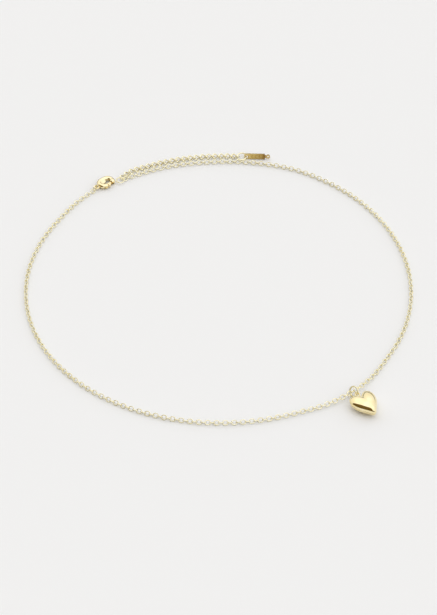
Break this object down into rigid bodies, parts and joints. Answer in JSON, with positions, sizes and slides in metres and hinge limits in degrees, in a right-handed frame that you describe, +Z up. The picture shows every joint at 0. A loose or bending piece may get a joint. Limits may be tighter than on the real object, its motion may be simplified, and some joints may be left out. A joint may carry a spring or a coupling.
{
  "type": "pendant necklace",
  "caption": "Fine cable chain laid in a ring with a puffed heart pendant, lobster clasp and curb-link extender with a blank tag.",
  "frame": {"origin": "centre of the laid-out neck loop, on the surface the necklace lies on", "axes": "+Z up from the surface; the clasp and extender lie towards +Y, the heart towards +X and -Y"},
  "size_m": [0.1272, 0.1314, 0.0044],
  "materials": {
    "gold": "polished",
    "steel_spring": "satin"
  },
  "bodies": {
    "front_chain": {"chain_pendant_section": "gold"},
    "right_chain_1": {"chain_right_1": "gold"},
    "right_chain_2": {"chain_right_2": "gold"},
    "right_chain_3": {"chain_right_3": "gold"},
    "right_chain_4": {"chain_right_4": "gold"},
    "right_chain_5": {"chain_right_5": "gold"},
    "right_chain_6": {"chain_right_6": "gold"},
    "right_chain_7": {"chain_right_7": "gold"},
    "right_chain_8": {"chain_right_8": "gold"},
    "left_chain_1": {"chain_left_1": "gold"},
    "left_chain_2": {"chain_left_2": "gold"},
    "left_chain_3": {"chain_left_3": "gold"},
    "left_chain_4": {"chain_left_4": "gold"},
    "left_chain_5": {"chain_left_5": "gold"},
    "left_chain_6": {"chain_left_6": "gold"},
    "left_chain_7": {"chain_left_7": "gold"},
    "left_chain_8": {"chain_left_8": "gold"},
    "pendant_ring": {"pendant_ring": "gold"},
    "heart": {"heart_bail": "gold", "heart_front_shell": "gold", "heart_back_shell": "gold"},
    "joining_ring": {"joining_ring": "gold"},
    "extender_1": {"extender_1": "gold"},
    "extender_2": {"extender_2": "gold"},
    "extender_3": {"extender_3": "gold"},
    "extender_4": {"extender_4": "gold"},
    "end_ring": {"end_ring": "gold"},
    "tag": {"blank_tag": "gold"},
    "tail_ring": {"tail_ring": "gold"},
    "clasp": {"clasp_body": "gold", "clasp_pin": "gold", "clasp_spring": "steel_spring"},
    "clasp_lever": {"clasp_lever": "gold"}
  },
  "joints": [
    {"name": "right_bend_1", "type": "hinge", "parent": "front_chain", "child": "right_chain_1", "pos_m": [0.04927, -0.04195, 0.0007], "axis": [0, 0, -1], "range_deg": [0, 20]},
    {"name": "right_bend_2", "type": "hinge", "parent": "right_chain_1", "child": "right_chain_2", "pos_m": [0.05971, -0.02139, 0.00061], "axis": [0, 0, -1], "range_deg": [0, 20]},
    {"name": "right_bend_3", "type": "hinge", "parent": "right_chain_2", "child": "right_chain_3", "pos_m": [0.06305, 0.00001, 0.00061], "axis": [0, 0, -1], "range_deg": [0, 20]},
    {"name": "right_bend_4", "type": "hinge", "parent": "right_chain_3", "child": "right_chain_4", "pos_m": [0.05904, 0.02267, 0.00061], "axis": [0, 0, -1], "range_deg": [0, 20]},
    {"name": "right_bend_5", "type": "hinge", "parent": "right_chain_4", "child": "right_chain_5", "pos_m": [0.04841, 0.04154, 0.00061], "axis": [0, 0, -1], "range_deg": [0, 20]},
    {"name": "right_bend_6", "type": "hinge", "parent": "right_chain_5", "child": "right_chain_6", "pos_m": [0.03091, 0.05646, 0.00061], "axis": [0, 0, -1], "range_deg": [0, 20]},
    {"name": "right_bend_7", "type": "hinge", "parent": "right_chain_6", "child": "right_chain_7", "pos_m": [0.01023, 0.06274, 0.00061], "axis": [0, 0, -1], "range_deg": [0, 8]},
    {"name": "right_bend_8", "type": "hinge", "parent": "right_chain_7", "child": "right_chain_8", "pos_m": [-0.01277, 0.06152, 0.00061], "axis": [0, 0, -1], "range_deg": [-8, 1]},
    {"name": "left_bend_1", "type": "hinge", "parent": "front_chain", "child": "left_chain_1", "pos_m": [0.03178, -0.05637, 0.0007], "axis": [0, 0, 1], "range_deg": [0, 20]},
    {"name": "left_bend_2", "type": "hinge", "parent": "left_chain_1", "child": "left_chain_2", "pos_m": [0.00964, -0.06282, 0.00061], "axis": [0, 0, 1], "range_deg": [0, 20]},
    {"name": "left_bend_3", "type": "hinge", "parent": "left_chain_2", "child": "left_chain_3", "pos_m": [-0.01334, -0.06193, 0.00061], "axis": [0, 0, 1], "range_deg": [0, 20]},
    {"name": "left_bend_4", "type": "hinge", "parent": "left_chain_3", "child": "left_chain_4", "pos_m": [-0.03457, -0.05309, 0.00061], "axis": [0, 0, 1], "range_deg": [0, 20]},
    {"name": "left_bend_5", "type": "hinge", "parent": "left_chain_4", "child": "left_chain_5", "pos_m": [-0.0512, -0.03722, 0.00061], "axis": [0, 0, 1], "range_deg": [0, 20]},
    {"name": "left_bend_6", "type": "hinge", "parent": "left_chain_5", "child": "left_chain_6", "pos_m": [-0.06092, -0.01639, 0.00061], "axis": [0, 0, 1], "range_deg": [0, 20]},
    {"name": "left_bend_7", "type": "hinge", "parent": "left_chain_6", "child": "left_chain_7", "pos_m": [-0.0625, 0.00655, 0.00061], "axis": [0, 0, 1], "range_deg": [0, 20]},
    {"name": "left_bend_8", "type": "hinge", "parent": "left_chain_7", "child": "left_chain_8", "pos_m": [-0.05576, 0.02853, 0.00061], "axis": [0, 0, 1], "range_deg": [0, 20]},
    {"name": "pendant_lift", "type": "hinge", "parent": "front_chain", "child": "pendant_ring", "pos_m": [0.04175, -0.05065, 0.00135], "axis": [-0.7716, -0.6361, 0], "range_deg": [0, 60]},
    {"name": "heart_swing", "type": "hinge", "parent": "pendant_ring", "child": "heart", "pos_m": [0.04304, -0.05221, 0.00173], "axis": [0, 0, 1], "range_deg": [-15, 15]},
    {"name": "joining_ring_tilt", "type": "hinge", "parent": "right_chain_8", "child": "joining_ring", "pos_m": [-0.03254, 0.05343, 0.00061], "axis": [0.5148, -0.8573, 0], "range_deg": [0, 12]},
    {"name": "extender_bend_1", "type": "hinge", "parent": "joining_ring", "child": "extender_1", "pos_m": [-0.03333, 0.05419, 0.00061], "axis": [0, 0, 1], "range_deg": [0, 20]},
    {"name": "extender_bend_2", "type": "hinge", "parent": "extender_1", "child": "extender_2", "pos_m": [-0.02486, 0.06022, 0.00072], "axis": [0, 0, 1], "range_deg": [0, 20]},
    {"name": "extender_bend_3", "type": "hinge", "parent": "extender_2", "child": "extender_3", "pos_m": [-0.01458, 0.06381, 0.00072], "axis": [0, 0, 1], "range_deg": [0, 20]},
    {"name": "extender_bend_4", "type": "hinge", "parent": "extender_3", "child": "extender_4", "pos_m": [-0.00385, 0.06568, 0.00072], "axis": [0, 0, 1], "range_deg": [0, 20]},
    {"name": "end_ring_swing", "type": "hinge", "parent": "extender_4", "child": "end_ring", "pos_m": [0.00664, 0.06579, 0.00072], "axis": [0, 0, 1], "range_deg": [-4, 12]},
    {"name": "tag_swing", "type": "hinge", "parent": "end_ring", "child": "tag", "pos_m": [0.00973, 0.0656, 0.00072], "axis": [0, 0, 1], "range_deg": [-4, 8]},
    {"name": "tail_ring_swing", "type": "hinge", "parent": "left_chain_8", "child": "tail_ring", "pos_m": [-0.04284, 0.04715, 0.00061], "axis": [0, 0, 1], "range_deg": [0, 10]},
    {"name": "clasp_swing", "type": "hinge", "parent": "tail_ring", "child": "clasp", "pos_m": [-0.04202, 0.04853, 0.00087], "axis": [0, 0, 1], "range_deg": [0, 20]},
    {"name": "lever_open", "type": "hinge", "parent": "clasp", "child": "clasp_lever", "pos_m": [-0.03875, 0.04933, 0.00087], "axis": [0, 0, 1], "range_deg": [0, 22], "stiffness_Nm_per_rad": 0.00002, "springref_deg": -17.19}
  ]
}
